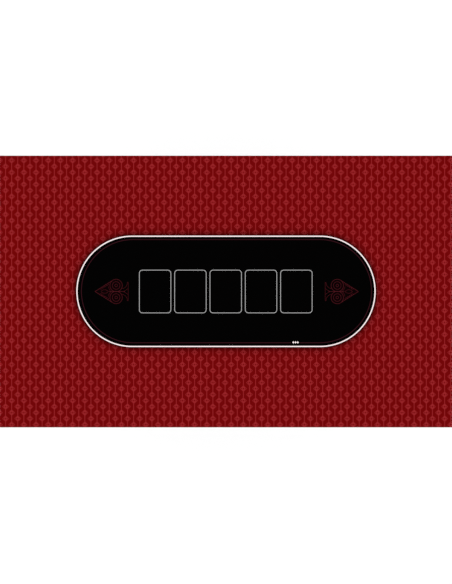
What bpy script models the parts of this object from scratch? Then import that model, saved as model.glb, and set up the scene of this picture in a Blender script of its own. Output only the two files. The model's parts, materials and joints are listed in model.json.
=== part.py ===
"""A portable card table: a printed, rubber-backed playing mat on a folding table of the same outline.

Metres, +Z up. The origin is on the floor under the middle of the top. +X runs along the table's length
and +Y across it, towards the back.
"""

import math

import bmesh
import bpy
from mathutils import Matrix, Vector

# Driving dimensions.
TOP_LENGTH = 1.000
TOP_WIDTH = 0.600
TABLE_HEIGHT = 0.740

GAP = 0.0003  # between pieces that touch
RUNNING_GAP = 0.0003  # all round a rivet in the hole that turns on it

# The playing mat, from the top down.
CLOTH_THICKNESS = 0.0005
RUBBER_THICKNESS = 0.0022

# The top board and the strips that cover its edges.
BOARD_THICKNESS = 0.018
BAND_THICKNESS = 0.002
BAND_ROUNDING = 0.0008

# The steel frame under the board, of rectangular tube mitred at the corners.
RAIL_HEIGHT = 0.040
RAIL_WIDTH = 0.020
RAIL_WALL = 0.0015
RAIL_INSET = 0.015

# The tabs that hold the frame to the board.
TAB_LENGTH = 0.030
TAB_REACH = 0.020
TAB_DROP = 0.014
TAB_SHEET = 0.002
LONG_RAIL_TABS_X = (-0.08, 0.08)

# The legs.
LEG_RADIUS = 0.0125
LEG_WALL = 0.0015
LEG_ABOVE_PIVOT = 0.012
PIVOT_DROP = 0.0247  # from the board's underside to the legs' pivots
PIVOT_X = 0.440
OUTER_LEGS_Y = 0.2275  # the left pair, which folds outside the right pair
INNER_LEGS_Y = 0.180
CROSSBAR_RADIUS = 0.010
CROSSBAR_DROP = 0.130

# The rubber feet.
FOOT_RADIUS = 0.015
FOOT_HEIGHT = 0.030
FOOT_SOLE = 0.006

# The hinge brackets.
SHEET = 0.003
CHEEK_CLEARANCE = 0.0005
PLATE_OUTER_REACH = 0.023
PLATE_INNER_REACH = 0.042
PLATE_HALF_WIDTH = 0.024
STOP_TOP = 0.016  # below the pivot
STOP_BOTTOM = 0.034

# The folding stays. Both arms lie in one line with the table open, and again with it folded.
STAY_ON_LEG = 0.160  # from the leg's pivot down to the lower arm's rivet
STAY_ON_TOP = 0.240  # from the leg's pivot along to the upper arm's rivet
ARM_WIDTH = 0.014
ARM_SHEET = 0.0025
LOWER_ARM_PLANE = 0.018  # from the leg's axis to the lower arm's inner side
UPPER_ARM_PLANE = 0.0235
EAR_WIDTH = 0.018

# Rivets.
PIVOT_RIVET_RADIUS = 0.004
PIVOT_HEAD_RADIUS = 0.0075
STAY_RIVET_RADIUS = 0.003
STAY_HEAD_RADIUS = 0.006
HEAD_HEIGHT = 0.002

# Holes for the screws that go up through the brackets, anchors and tabs into the board.
SCREW_HOLE_RADIUS = 0.0023
PILOT_RADIUS = 0.0015
PILOT_DEPTH = 0.012
BRACKET_SCREWS_X = (-0.0155, 0.0345)  # from the leg's pivot
BRACKET_SCREW_Y = 0.020
ANCHOR_SCREW_X = 0.0105  # from the upper arm's rivet
ANCHOR_SCREW_Y = 0.0115  # from the ear's inner side
TAB_SCREW_IN = 0.012  # from the rail
TAB_SCREW_ALONG = 0.0085

# Faces round a full turn, and round an arm's end.
TUBE_STEPS = 28
RIVET_STEPS = 16
HOLE_STEPS = 12
END_STEPS = 8

# Worked out from the above.
CLOTH_BOTTOM = TABLE_HEIGHT - CLOTH_THICKNESS
RUBBER_TOP = CLOTH_BOTTOM - GAP
RUBBER_BOTTOM = RUBBER_TOP - RUBBER_THICKNESS
BOARD_TOP = RUBBER_BOTTOM - GAP
BOARD_BOTTOM = BOARD_TOP - BOARD_THICKNESS
UNDER_BOARD = BOARD_BOTTOM - GAP
PIVOT_Z = BOARD_BOTTOM - PIVOT_DROP
STAY_SPAN = math.hypot(STAY_ON_LEG, STAY_ON_TOP)
UPPER_ARM = (STAY_SPAN + STAY_ON_TOP - STAY_ON_LEG) / 2
LOWER_ARM = STAY_SPAN - UPPER_ARM
STAY_SLOPE = math.atan2(STAY_ON_LEG, STAY_ON_TOP)

LEFT, RIGHT = -1, 1
FRONT, BACK = -1, 1
SIDE_NAMES = {LEFT: "left", RIGHT: "right"}
ROW_NAMES = {FRONT: "front", BACK: "back"}
LEG_ROW_Y = {LEFT: OUTER_LEGS_Y, RIGHT: INNER_LEGS_Y}


def clear_scene():
    for obj in list(bpy.data.objects):
        bpy.data.objects.remove(obj)


def material(name, colour, roughness, metallic=0.0):
    made = bpy.data.materials.new(name)
    made.use_nodes = True
    shader = made.node_tree.nodes["Principled BSDF"]
    shader.inputs["Base Color"].default_value = (*colour, 1.0)
    shader.inputs["Roughness"].default_value = roughness
    shader.inputs["Metallic"].default_value = metallic
    return made


def placed(name, mesh, finish, location=(0, 0, 0), rotation=(0, 0, 0)):
    """A new object of this mesh, which other objects may share."""
    obj = bpy.data.objects.new(name, mesh)
    bpy.context.scene.collection.objects.link(obj)
    obj.location = location
    obj.rotation_euler = rotation
    if not mesh.materials:
        mesh.materials.append(finish)
    return obj


def shade(mesh):
    """Smooth round faces, with every clear corner kept sharp."""
    mesh.shade_smooth()
    mesh.set_sharp_from_angle(angle=math.radians(35))


def mesh_of(name, bm):
    """A mesh made from bm, with its faces pointing out."""
    bmesh.ops.recalc_face_normals(bm, faces=bm.faces)
    mesh = bpy.data.meshes.new(name)
    bm.to_mesh(mesh)
    bm.free()
    shade(mesh)
    return mesh


def box_mesh(name, low, high):
    bm = bmesh.new()
    bmesh.ops.create_cube(bm, size=1.0)
    low, high = Vector(low), Vector(high)
    size = high - low
    bmesh.ops.scale(bm, vec=size, verts=bm.verts)
    bmesh.ops.translate(bm, vec=(low + high) / 2, verts=bm.verts)
    return mesh_of(name, bm)


def turned_mesh(name, profile, steps, closed=False):
    """The profile, of (radius, height) points, turned about Z. A closed profile makes a tube."""
    bm = bmesh.new()
    points = [bm.verts.new((radius, 0, height)) for radius, height in profile]
    pairs = list(zip(points, points[1:]))
    if closed:
        pairs.append((points[-1], points[0]))
    edges = [bm.edges.new(pair) for pair in pairs]
    bmesh.ops.spin(
        bm,
        geom=points + edges,
        cent=(0, 0, 0),
        axis=(0, 0, 1),
        angle=math.tau,
        steps=steps,
        use_merge=True,
    )
    bmesh.ops.remove_doubles(bm, verts=bm.verts, dist=1e-7)
    return mesh_of(name, bm)


def prism_mesh(name, outline, depth, holes=()):
    """The outline, in X and Z, with its holes, made into a plate from y = 0 to y = depth."""
    bm = bmesh.new()
    edges = []
    for loop in (outline, *holes):
        points = [bm.verts.new((x, 0, z)) for x, z in loop]
        edges += [bm.edges.new(pair) for pair in zip(points, points[1:] + points[:1])]
    bmesh.ops.triangle_fill(bm, use_beauty=True, edges=edges)
    pushed = bmesh.ops.extrude_face_region(bm, geom=bm.faces[:], use_keep_orig=True)
    moved = [item for item in pushed["geom"] if isinstance(item, bmesh.types.BMVert)]
    bmesh.ops.translate(bm, vec=(0, depth, 0), verts=moved)
    return mesh_of(name, bm)


def arc(centre, radius, start, end, steps):
    """Points from one angle to another, both included."""
    angles = [start + (end - start) * i / steps for i in range(steps + 1)]
    return [(centre[0] + radius * math.cos(a), centre[1] + radius * math.sin(a)) for a in angles]


def circle(centre, radius, steps=RIVET_STEPS):
    return arc(centre, radius, 0, math.tau, steps)[:-1]


def combined_mesh(name, first, others):
    """The first mesh after a Boolean with each of (operation, mesh)."""
    helpers = []
    for mesh in (first, *(mesh for _, mesh in others)):
        helper = bpy.data.objects.new(name + "_helper", mesh)
        bpy.context.scene.collection.objects.link(helper)
        helpers.append(helper)
    target = helpers[0]
    for (operation, _), helper in zip(others, helpers[1:]):
        cut = target.modifiers.new(operation, "BOOLEAN")
        cut.operation = operation
        cut.object = helper
    bpy.context.view_layer.update()
    graph = bpy.context.evaluated_depsgraph_get()
    result = bpy.data.meshes.new_from_object(target.evaluated_get(graph))
    result.name = name
    shade(result)
    for helper in helpers:
        bpy.data.objects.remove(helper)
    return result


def turned_to_y(mesh):
    """The mesh with its Z axis laid along Y."""
    mesh.transform(Matrix.Rotation(-math.pi / 2, 4, "X"))
    return mesh


def drills_mesh(radius, low, high, spots):
    """Upright round cutters between two heights, one at each (x, y)."""
    profile = [(0, low), (radius, low), (radius, high), (0, high)]
    drill = turned_mesh("drill", profile, HOLE_STEPS)
    bm = bmesh.new()
    for x, y in spots:
        copy = drill.copy()
        copy.transform(Matrix.Translation((x, y, 0)))
        bm.from_mesh(copy)
    return mesh_of("drills", bm)


def build_mat(finishes):
    half_x, half_y = TOP_LENGTH / 2, TOP_WIDTH / 2
    layers = (
        ("printed_cloth", CLOTH_BOTTOM, TABLE_HEIGHT, "cloth"),
        ("rubber_base", RUBBER_BOTTOM, RUBBER_TOP, "rubber"),
    )
    for name, low, high, finish in layers:
        mesh = box_mesh(name, (-half_x, -half_y, low), (half_x, half_y, high))
        placed(name, mesh, finishes[finish])


def build_board(finishes):
    half_x = TOP_LENGTH / 2 - BAND_THICKNESS - GAP
    half_y = TOP_WIDTH / 2 - BAND_THICKNESS - GAP
    sheet = box_mesh("top_board", (-half_x, -half_y, BOARD_BOTTOM), (half_x, half_y, BOARD_TOP))
    pilots = drills_mesh(PILOT_RADIUS, BOARD_BOTTOM - SHEET, BOARD_BOTTOM + PILOT_DEPTH, screw_spots())
    mesh = combined_mesh("top_board", sheet, [("DIFFERENCE", pilots)])
    placed("top_board", mesh, finishes["board"])


def mitred_mesh(name, outer_length, loops, low):
    """A bar along X whose outer side is at y = 0 and whose ends are mitred at 45 degrees. Each loop is a
    rectangle of (depth from the outer side, height above low), outermost first. A second loop is a bore."""
    bm = bmesh.new()
    ends = []
    for direction in (-1, 1):
        ends.append([])
        for loop in loops:
            reach = [outer_length / 2 - GAP / 2 - depth for depth, _ in loop]
            corners = zip(reach, loop)
            verts = [bm.verts.new((direction * x, d, low + h)) for x, (d, h) in corners]
            ends[-1].append(verts)
    for first, second in zip(*ends):
        for i, vert in enumerate(first):
            following = (i + 1) % len(first)
            bm.faces.new((vert, first[following], second[following], second[i]))
    for rings in ends:
        if len(rings) == 1:
            bm.faces.new(rings[0])
            continue
        outer, inner = rings
        for i in range(len(outer)):
            following = (i + 1) % len(outer)
            bm.faces.new((outer[i], outer[following], inner[following], inner[i]))
    return mesh_of(name, bm)


def rectangle(width, height, wall=0.0):
    return [(wall, wall), (width - wall, wall), (width - wall, height - wall), (wall, height - wall)]


def on_four_sides(base_name, length, width, make):
    """One piece along each side of a rectangle, from make(name, length of that side's outer edge)."""
    sides = (
        ("front", length, (0, -width / 2, 0), 0),
        ("right", width, (length / 2, 0, 0), math.pi / 2),
        ("back", length, (0, width / 2, 0), math.pi),
        ("left", width, (-length / 2, 0, 0), -math.pi / 2),
    )
    for side, outer_length, location, turn in sides:
        obj = make(f"{side}_{base_name}", outer_length)
        obj.location = location
        obj.rotation_euler = (0, 0, turn)


def build_edge_bands(finishes):
    def make(name, length):
        loops = [rectangle(BAND_THICKNESS, BOARD_THICKNESS)]
        mesh = mitred_mesh(name, length, loops, BOARD_BOTTOM)
        band = placed(name, mesh, finishes["edge_band"])
        rounding = band.modifiers.new("rounding", "BEVEL")
        rounding.width = BAND_ROUNDING
        rounding.segments = 2
        rounding.limit_method = "ANGLE"
        return band

    on_four_sides("edge_band", TOP_LENGTH, TOP_WIDTH, make)


def build_rails(finishes):
    def make(name, length):
        loops = [rectangle(RAIL_WIDTH, RAIL_HEIGHT), rectangle(RAIL_WIDTH, RAIL_HEIGHT, RAIL_WALL)]
        mesh = mitred_mesh(name, length, loops, UNDER_BOARD - RAIL_HEIGHT)
        return placed(name, mesh, finishes["frame_steel"])

    on_four_sides("rail", TOP_LENGTH - 2 * RAIL_INSET, TOP_WIDTH - 2 * RAIL_INSET, make)


def tab_places():
    """Each tab's name, its place on a rail's inner side, and its turn about Z."""
    inner_x = TOP_LENGTH / 2 - RAIL_INSET - RAIL_WIDTH - GAP
    inner_y = TOP_WIDTH / 2 - RAIL_INSET - RAIL_WIDTH - GAP
    places = [("left_frame_tab", (-inner_x, 0), 0), ("right_frame_tab", (inner_x, 0), math.pi)]
    for x in LONG_RAIL_TABS_X:
        side = SIDE_NAMES[LEFT if x < 0 else RIGHT]
        places.append((f"front_{side}_frame_tab", (x, -inner_y), math.pi / 2))
        places.append((f"back_{side}_frame_tab", (x, inner_y), -math.pi / 2))
    return places


def build_tabs(finishes):
    """Bent tabs on the rails' inner sides, each with its long edge along the rail."""
    profile = [
        (0, 0),
        (TAB_REACH, 0),
        (TAB_REACH, -TAB_SHEET),
        (TAB_SHEET, -TAB_SHEET),
        (TAB_SHEET, -TAB_DROP),
        (0, -TAB_DROP),
    ]
    bent = prism_mesh("bent", profile, TAB_LENGTH)
    bent.transform(Matrix.Translation((0, -TAB_LENGTH / 2, 0)))
    spots = [(TAB_SCREW_IN, along) for along in (-TAB_SCREW_ALONG, TAB_SCREW_ALONG)]
    drills = drills_mesh(SCREW_HOLE_RADIUS, -2 * TAB_SHEET, TAB_SHEET, spots)
    mesh = combined_mesh("frame_tab", bent, [("DIFFERENCE", drills)])
    for name, (x, y), turn in tab_places():
        placed(name, mesh, finishes["frame_steel"], (x, y, UNDER_BOARD), (0, 0, turn))


def screw_spots():
    """Each screw's place in X and Y."""
    spots = []
    for side in (LEFT, RIGHT):
        for row in (FRONT, BACK):
            leg_y = row * LEG_ROW_Y[side]
            for along in BRACKET_SCREWS_X:
                screw_x = side * (PIVOT_X - along)
                for aside in (-BRACKET_SCREW_Y, BRACKET_SCREW_Y):
                    spots.append((screw_x, leg_y + aside))
            screw_y = leg_y + row * (LOWER_ARM_PLANE - ANCHOR_SCREW_Y)
            for along in (-ANCHOR_SCREW_X, ANCHOR_SCREW_X):
                spots.append((side * (PIVOT_X - STAY_ON_TOP) + along, screw_y))
    for _, place, turn in tab_places():
        for along in (-TAB_SCREW_ALONG, TAB_SCREW_ALONG):
            spots.append(Vector(place) + Matrix.Rotation(turn, 2) @ Vector((TAB_SCREW_IN, along)))
    return spots


def bracket_mesh():
    """A hinge bracket about its pivot: a plate under the board, two cheeks and a stop between them. The leg
    folds towards +X."""
    plate_top = UNDER_BOARD - PIVOT_Z
    plate_bottom = plate_top - SHEET
    inner_y = LEG_RADIUS + CHEEK_CLEARANCE
    outer_y = inner_y + SHEET
    nose = LEG_RADIUS
    stop_face = -LEG_RADIUS - CHEEK_CLEARANCE
    stop_back = stop_face - SHEET
    lap = SHEET / 2
    outline = [
        (stop_back, plate_bottom + lap),
        (stop_back, -STOP_BOTTOM),
        (stop_face + SHEET, -STOP_BOTTOM),
        *arc((0, 0), nose, math.radians(-110), math.radians(-30), END_STEPS),
        (PLATE_INNER_REACH - SHEET, plate_bottom - SHEET),
        (PLATE_INNER_REACH - SHEET, plate_bottom + lap),
    ]
    hole = circle((0, 0), PIVOT_RIVET_RADIUS + RUNNING_GAP)
    parts = []
    for low_y in (-outer_y, inner_y):
        cheek = prism_mesh("cheek", outline, SHEET, [hole])
        cheek.transform(Matrix.Translation((0, low_y, 0)))
        parts.append(("UNION", cheek))
    stop_low = (stop_back, -inner_y - lap, -STOP_BOTTOM + lap / 2)
    stop_high = (stop_face, inner_y + lap, -STOP_TOP)
    parts.append(("UNION", box_mesh("stop", stop_low, stop_high)))
    spots = [(x, y) for x in BRACKET_SCREWS_X for y in (-BRACKET_SCREW_Y, BRACKET_SCREW_Y)]
    drills = drills_mesh(SCREW_HOLE_RADIUS, plate_bottom - SHEET, plate_top + SHEET, spots)
    parts.append(("DIFFERENCE", drills))
    plate = box_mesh(
        "plate",
        (-PLATE_OUTER_REACH, -PLATE_HALF_WIDTH, plate_bottom),
        (PLATE_INNER_REACH, PLATE_HALF_WIDTH, plate_top),
    )
    return combined_mesh("leg_bracket", plate, parts)


def leg_mesh():
    """A leg about its pivot, with holes for the pivot and the stay."""
    low = -PIVOT_Z + FOOT_SOLE + GAP
    inner = LEG_RADIUS - LEG_WALL
    profile = [(LEG_RADIUS, LEG_ABOVE_PIVOT), (LEG_RADIUS, low), (inner, low), (inner, LEG_ABOVE_PIVOT)]
    tube = turned_mesh("leg", profile, TUBE_STEPS, closed=True)
    cuts = []
    for radius, height in ((PIVOT_RIVET_RADIUS, 0), (STAY_RIVET_RADIUS, -STAY_ON_LEG)):
        drill_radius = radius + RUNNING_GAP
        reach = 2 * LEG_RADIUS
        profile = [(0, -reach), (drill_radius, -reach), (drill_radius, reach), (0, reach)]
        drill = turned_to_y(turned_mesh("drill", profile, RIVET_STEPS))
        drill.transform(Matrix.Translation((0, 0, height)))
        cuts.append(("DIFFERENCE", drill))
    return combined_mesh("leg", tube, cuts)


def foot_mesh():
    """A rubber cup over a leg's end, about the point on the floor under the leg."""
    bore = LEG_RADIUS + GAP
    lip = FOOT_RADIUS - 0.0008
    ease = 0.001
    profile = [
        (0, 0),
        (FOOT_RADIUS - ease, 0),
        (FOOT_RADIUS, ease),
        (FOOT_RADIUS, FOOT_SOLE),
        (lip, FOOT_HEIGHT),
        (bore, FOOT_HEIGHT),
        (bore, FOOT_SOLE),
        (0, FOOT_SOLE),
    ]
    return turned_mesh("foot", profile, TUBE_STEPS)


def crossbar_mesh(half_span):
    """A tube between the two legs of a pair, its ends shaped to fit them."""
    inner = CROSSBAR_RADIUS - LEG_WALL
    reach = half_span - LEG_RADIUS / 2
    profile = [(CROSSBAR_RADIUS, -reach), (CROSSBAR_RADIUS, reach), (inner, reach), (inner, -reach)]
    bar = turned_to_y(turned_mesh("crossbar", profile, TUBE_STEPS, closed=True))
    cuts = []
    for y in (-half_span, half_span):
        depth = 3 * CROSSBAR_RADIUS
        radius = LEG_RADIUS + GAP
        cope = turned_mesh(
            "cope", [(0, -depth), (radius, -depth), (radius, depth), (0, depth)], TUBE_STEPS
        )
        cope.transform(Matrix.Translation((0, y, 0)))
        cuts.append(("DIFFERENCE", cope))
    return combined_mesh("crossbar", bar, cuts)


def rivet_mesh(name, radius, head_radius, near, far, shoulders=()):
    """A rivet along Y with a head outside each of near and far. Each shoulder is a stretch (from, to) where
    the rivet is as thick as its head."""
    stations = [(near - HEAD_HEIGHT, 0), (near - HEAD_HEIGHT, 0.6 * head_radius), (near, head_radius)]
    stations.append((near, radius))
    for start, end in shoulders:
        stations += [(start, radius), (start, head_radius), (end, head_radius), (end, radius)]
    stations += [(far, radius), (far, head_radius)]
    stations += [(far + HEAD_HEIGHT, 0.6 * head_radius), (far + HEAD_HEIGHT, 0)]
    # A profile is turned about Z and laid along Y, which runs the same way.
    profile = [(thickness, along) for along, thickness in stations]
    return turned_to_y(turned_mesh(name, profile, RIVET_STEPS))


def arm_mesh(name, length, sign, holes_at):
    """A flat stay arm about its first pivot, pointing along sign * X, with round ends."""
    radius = ARM_WIDTH / 2
    low, high = sorted((0, sign * length))
    outline = arc((high, 0), radius, -math.pi / 2, math.pi / 2, END_STEPS)
    outline += arc((low, 0), radius, math.pi / 2, 1.5 * math.pi, END_STEPS)
    hole_radius = STAY_RIVET_RADIUS + RUNNING_GAP
    holes = [circle((sign * at, 0), hole_radius) for at in holes_at]
    return prism_mesh(name, outline, ARM_SHEET, holes)


def anchor_mesh():
    """A bent plate about the upper arm's rivet: a foot under the board and an ear down to the rivet. The
    ear's inner side is at y = 0, and the foot reaches towards -Y."""
    foot_top = UNDER_BOARD - PIVOT_Z
    half = EAR_WIDTH / 2
    outline = [(half, foot_top - SHEET / 2)]
    outline += arc((0, 0), half, 0, -math.pi, END_STEPS)
    outline += [(-half, foot_top - SHEET / 2)]
    ear = prism_mesh("ear", outline, ARM_SHEET, [circle((0, 0), STAY_RIVET_RADIUS + RUNNING_GAP)])
    foot_reach = 0.022
    foot = box_mesh(
        "anchor_foot",
        (-EAR_WIDTH, -foot_reach, foot_top - SHEET),
        (EAR_WIDTH, ARM_SHEET, foot_top),
    )
    spots = [(x, -ANCHOR_SCREW_Y) for x in (-ANCHOR_SCREW_X, ANCHOR_SCREW_X)]
    drills = drills_mesh(SCREW_HOLE_RADIUS, foot_top - 2 * SHEET, foot_top + SHEET, spots)
    return combined_mesh("stay_anchor", foot, [("UNION", ear), ("DIFFERENCE", drills)])


def mirrored_y(mesh, name):
    """A copy of the mesh for the front row, mirrored in Y."""
    copy = mesh.copy()
    copy.name = name
    copy.transform(Matrix.Scale(-1, 4, (0, 1, 0)))
    copy.flip_normals()
    return copy


def both_rows(mesh):
    return {BACK: mesh, FRONT: mirrored_y(mesh, mesh.name + "_front")}


def build_leg_set(finishes, meshes, side):
    """The legs, brackets and stays of one end of the table, round its pivot axis."""
    side_name = SIDE_NAMES[side]
    inward = -side
    pivot_x = side * PIVOT_X
    turn = (0, 0, 0) if side == LEFT else (0, 0, math.pi)
    row_y = LEG_ROW_Y[side]
    on_leg_z = PIVOT_Z - STAY_ON_LEG
    on_top_x = pivot_x + inward * STAY_ON_TOP
    crossbar = meshes["crossbar"][side]
    spot = (pivot_x, 0, PIVOT_Z - CROSSBAR_DROP)
    placed(f"{side_name}_crossbar", crossbar, finishes["leg_steel"], spot)
    for row, row_name in ROW_NAMES.items():
        y = row * row_y
        where = f"{side_name}_{row_name}"
        # A mesh turned half round about Z swaps its rows, so the right side takes the other row's mesh.
        own = row if side == LEFT else -row
        pivot = (pivot_x, y, PIVOT_Z)
        placed(f"{where}_leg_bracket", meshes["bracket"], finishes["plated_steel"], pivot, turn)
        placed(f"{where}_pivot_rivet", meshes["pivot_rivet"], finishes["rivet_steel"], pivot)
        placed(f"{where}_leg", meshes["leg"], finishes["leg_steel"], pivot, turn)
        placed(f"{where}_foot", meshes["foot"], finishes["foot_rubber"], (pivot_x, y, 0))
        lower_y = y + row * LOWER_ARM_PLANE
        upper_y = y + row * UPPER_ARM_PLANE
        slope = (0, -STAY_SLOPE, 0) if side == LEFT else (0, -STAY_SLOPE, math.pi)
        lower = meshes["lower_arm"][own]
        upper = meshes["upper_arm"][own]
        placed(f"{where}_lower_stay", lower, finishes["plated_steel"], (pivot_x, lower_y, on_leg_z), slope)
        placed(f"{where}_upper_stay", upper, finishes["plated_steel"], (on_top_x, upper_y, PIVOT_Z), slope)
        knuckle = (
            on_top_x - inward * UPPER_ARM * math.cos(STAY_SLOPE),
            upper_y,
            PIVOT_Z - UPPER_ARM * math.sin(STAY_SLOPE),
        )
        placed(f"{where}_knuckle_rivet", meshes["knuckle_rivet"][own], finishes["rivet_steel"], knuckle, turn)
        leg_spot = (pivot_x, y, on_leg_z)
        placed(f"{where}_leg_rivet", meshes["leg_rivet"][own], finishes["rivet_steel"], leg_spot, turn)
        ear_spot = (on_top_x, lower_y, PIVOT_Z)
        placed(f"{where}_stay_anchor", meshes["anchor"][own], finishes["plated_steel"], ear_spot, turn)
        placed(f"{where}_anchor_rivet", meshes["anchor_rivet"][own], finishes["rivet_steel"], ear_spot, turn)


def shared_meshes():
    """Each repeated shape once. Where the rows differ, the value holds one mesh for each row."""
    cheek_outer = LEG_RADIUS + CHEEK_CLEARANCE + SHEET
    lower_outer = LOWER_ARM_PLANE + ARM_SHEET
    arms_apart = UPPER_ARM_PLANE - lower_outer
    upper_far = UPPER_ARM_PLANE + ARM_SHEET
    pivot_rivet = rivet_mesh(
        "pivot_rivet", PIVOT_RIVET_RADIUS, PIVOT_HEAD_RADIUS, -cheek_outer - GAP, cheek_outer + GAP
    )
    leg_rivet = rivet_mesh(
        "leg_rivet",
        STAY_RIVET_RADIUS,
        STAY_HEAD_RADIUS,
        -LEG_RADIUS - GAP,
        lower_outer + GAP,
        [(LEG_RADIUS + GAP, LOWER_ARM_PLANE - GAP)],
    )
    # About the ear's inner side.
    ear_to_arm = (ARM_SHEET + GAP, ARM_SHEET + arms_apart - GAP)
    anchor_rivet = rivet_mesh(
        "anchor_rivet",
        STAY_RIVET_RADIUS,
        STAY_HEAD_RADIUS,
        -GAP,
        upper_far - LOWER_ARM_PLANE + GAP,
        [ear_to_arm],
    )
    return {
        "bracket": bracket_mesh(),
        "leg": leg_mesh(),
        "foot": foot_mesh(),
        "crossbar": {side: crossbar_mesh(y) for side, y in LEG_ROW_Y.items()},
        "pivot_rivet": pivot_rivet,
        "leg_rivet": both_rows(leg_rivet),
        "anchor_rivet": both_rows(anchor_rivet),
        "knuckle_rivet": both_rows(knuckle_rivet_mesh(arms_apart)),
        "anchor": both_rows(anchor_mesh()),
        "upper_arm": both_rows(arm_mesh("upper_arm", UPPER_ARM, -1, (0, UPPER_ARM))),
        "lower_arm": both_rows(arm_mesh("lower_arm", LOWER_ARM, 1, (0,))),
    }


def knuckle_rivet_mesh(arms_apart):
    """The rivet at the stay's knuckle, about the upper arm's inner side. It carries the washer between the
    arms and stops short of the lower arm, so that the two arms can be posed apart."""
    far = ARM_SHEET + GAP
    washer = -arms_apart + GAP
    profile = [
        (0, washer),
        (STAY_HEAD_RADIUS, washer),
        (STAY_HEAD_RADIUS, -GAP),
        (STAY_RIVET_RADIUS, -GAP),
        (STAY_RIVET_RADIUS, far),
        (STAY_HEAD_RADIUS, far),
        (0.6 * STAY_HEAD_RADIUS, far + HEAD_HEIGHT),
        (0, far + HEAD_HEIGHT),
    ]
    return turned_to_y(turned_mesh("knuckle_rivet", profile, RIVET_STEPS))


def make_finishes():
    return {
        "cloth": material("printed_cloth", (0.20, 0.008, 0.010), 0.85),
        "rubber": material("mat_rubber", (0.012, 0.012, 0.013), 0.80),
        "board": material("board_laminate", (0.020, 0.020, 0.022), 0.50),
        "edge_band": material("edge_band", (0.018, 0.018, 0.020), 0.40),
        "frame_steel": material("frame_steel", (0.022, 0.022, 0.024), 0.45, 0.1),
        "leg_steel": material("leg_steel", (0.022, 0.022, 0.024), 0.40, 0.1),
        "plated_steel": material("plated_steel", (0.55, 0.56, 0.57), 0.35, 1.0),
        "rivet_steel": material("rivet_steel", (0.62, 0.62, 0.63), 0.30, 1.0),
        "foot_rubber": material("foot_rubber", (0.015, 0.015, 0.015), 0.75),
    }


def main():
    clear_scene()
    finishes = make_finishes()
    build_mat(finishes)
    build_board(finishes)
    build_edge_bands(finishes)
    build_rails(finishes)
    build_tabs(finishes)
    meshes = shared_meshes()
    for side in (LEFT, RIGHT):
        build_leg_set(finishes, meshes, side)


main()
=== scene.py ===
import json
import math

import bmesh
import bpy
from mathutils import Matrix, Vector


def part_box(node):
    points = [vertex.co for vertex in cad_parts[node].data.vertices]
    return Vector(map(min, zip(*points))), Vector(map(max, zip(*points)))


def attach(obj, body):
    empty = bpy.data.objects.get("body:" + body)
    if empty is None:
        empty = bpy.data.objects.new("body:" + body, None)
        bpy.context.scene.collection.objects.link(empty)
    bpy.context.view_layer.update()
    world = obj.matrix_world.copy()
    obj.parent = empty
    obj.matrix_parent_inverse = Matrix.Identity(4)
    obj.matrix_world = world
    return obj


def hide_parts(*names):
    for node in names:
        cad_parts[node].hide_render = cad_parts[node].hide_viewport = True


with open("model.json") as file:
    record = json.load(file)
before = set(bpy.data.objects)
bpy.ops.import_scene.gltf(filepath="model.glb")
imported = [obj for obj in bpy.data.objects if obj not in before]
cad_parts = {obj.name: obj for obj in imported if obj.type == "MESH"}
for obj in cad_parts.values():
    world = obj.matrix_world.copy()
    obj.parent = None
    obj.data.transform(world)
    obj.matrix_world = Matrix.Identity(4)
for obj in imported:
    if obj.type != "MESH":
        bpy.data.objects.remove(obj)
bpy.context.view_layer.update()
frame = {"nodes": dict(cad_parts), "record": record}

# The looks of a folding card table with a printed, rubber-backed playing mat. Metres, +Z up, in the
# frame's own coordinates: +X along the table, +Y across it towards the top edge of the printed layout.

NODES = frame["nodes"]
SIDES = ("left", "right")
ROWS = ("front", "back")
CORNERS = [f"{side}_{row}" for side in SIDES for row in ROWS]

# The mat, from its CAD solids.
MAT_LOW, MAT_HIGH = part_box("printed_cloth")
MAT_LENGTH = MAT_HIGH.x - MAT_LOW.x
MAT_WIDTH = MAT_HIGH.y - MAT_LOW.y
MAT_TOP = MAT_HIGH.z
RUBBER_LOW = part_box("rubber_base")[0]

# The printed layout.
TRACK_LENGTH = 0.6607  # over the outside of the white outline
TRACK_WIDTH = 0.2459
TRACK_Y = 0.00035
OUTLINE_WIDTH = 0.00255
INNER_LINE_INSET = 0.0090
INNER_LINE_END_INSET = 0.0100
INNER_LINE_AT = (0.0010, 0.0008)  # printed a little off the middle
INNER_LINE_WIDTH = 0.0016
CARD_BOX_LENGTH = 0.0944
CARD_BOX_WIDTH = 0.0696
CARD_BOX_PITCH = 0.07796
CARD_BOX_CORNER = 0.0070
CARD_BOX_LINE = 0.0012
CARD_BOXES = 5
CARD_BOXES_X = -0.0006
MARK_AT = (0.1536, -0.1124)
MARK_SIZE = (0.0148, 0.0052)
MARK_GAP = 0.0200
SPADE_TIPS_X = (-0.2893, 0.2924)
SPADE_LENGTH = 0.0734

# The woven-look pattern in the red field: columns of lozenges on thin lines, every other one staggered.
PATTERN_WIDTH = 0.026929
PATTERN_HEIGHT = 0.026518
PATTERN_AT = (-0.0020, 0.0110)  # the middle of one lozenge

# The ink's thickness, and how far one layer stands above the last.
INK = 0.00006
INK_STEP = 0.00003


# Node graphs ----------------------------------------------


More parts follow.
